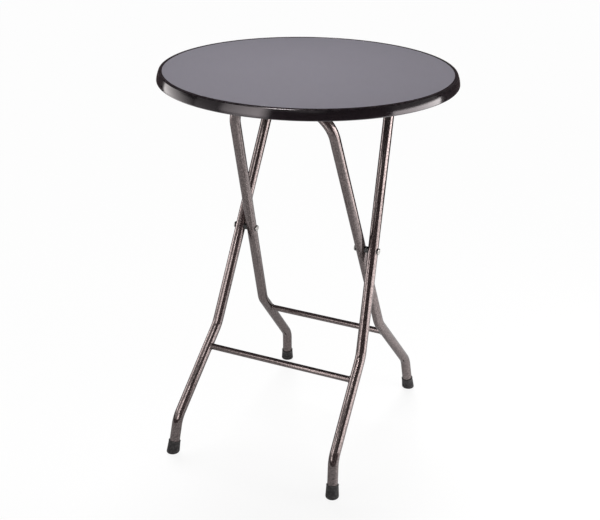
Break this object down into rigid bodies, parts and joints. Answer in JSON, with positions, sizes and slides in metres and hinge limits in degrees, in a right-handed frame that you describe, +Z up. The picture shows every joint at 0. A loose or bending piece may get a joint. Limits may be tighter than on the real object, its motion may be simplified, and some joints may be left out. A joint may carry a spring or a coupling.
{
  "type": "folding bar table",
  "caption": "Round bar table with a grey top and black rim on crossed bent-tube legs that fold like scissors as the top tips up.",
  "frame": {"origin": "on the floor under the middle of the round top", "axes": "+X along the pivot, to the right; +Y to the back; +Z up"},
  "size_m": [0.8278, 0.8278, 1.1],
  "materials": {
    "grey_laminate": "fine-textured grey laminate",
    "board": "raw particle board",
    "dark_backing": "dark balancing sheet",
    "black_rim": "glossy black moulding",
    "bronze_enamel": "bronze-grey hammered enamel on steel tube",
    "black_rubber": "matte rubber",
    "zinc_steel": "zinc-plated steel",
    "nylon": "moulded nylon"
  },
  "bodies": {
    "tabletop": {"core_board": "board", "surface_laminate": "grey_laminate", "backing_sheet": "dark_backing", "edge_rim": "black_rim", "hinge_strap_left": "zinc_steel", "hinge_strap_right": "zinc_steel", "hinge_liner_left": "nylon", "hinge_liner_right": "nylon", "hinge_screws": "zinc_steel", "catch_hook": "zinc_steel", "catch_pad": "black_rubber", "catch_screws": "zinc_steel"},
    "outer_frame": {"outer_frame_tube": "bronze_enamel", "outer_crossbar": "bronze_enamel", "outer_foot_left": "black_rubber", "outer_foot_right": "black_rubber", "outer_saddle_washers": "nylon", "pivot_bolt_left": "zinc_steel", "pivot_bolt_right": "zinc_steel", "pivot_nut_left": "zinc_steel", "pivot_nut_right": "zinc_steel"},
    "inner_frame": {"inner_frame_tube": "bronze_enamel", "inner_crossbar": "bronze_enamel", "inner_foot_left": "black_rubber", "inner_foot_right": "black_rubber", "inner_saddle_washers": "nylon"}
  },
  "joints": [
    {"name": "leg_swing", "type": "hinge", "parent": "tabletop", "child": "outer_frame", "pos_m": [0, 0.18258, 1.0559], "axis": [1, 0, 0], "range_deg": [0, 110]},
    {"name": "leg_fold", "type": "hinge", "parent": "outer_frame", "child": "inner_frame", "pos_m": [0, 0, 0.604], "axis": [-1, 0, 0], "range_deg": [0, 39.5]}
  ],
  "couplings": [
    {"joint": "leg_fold", "follows": "leg_swing", "ratio": 0.359}
  ]
}
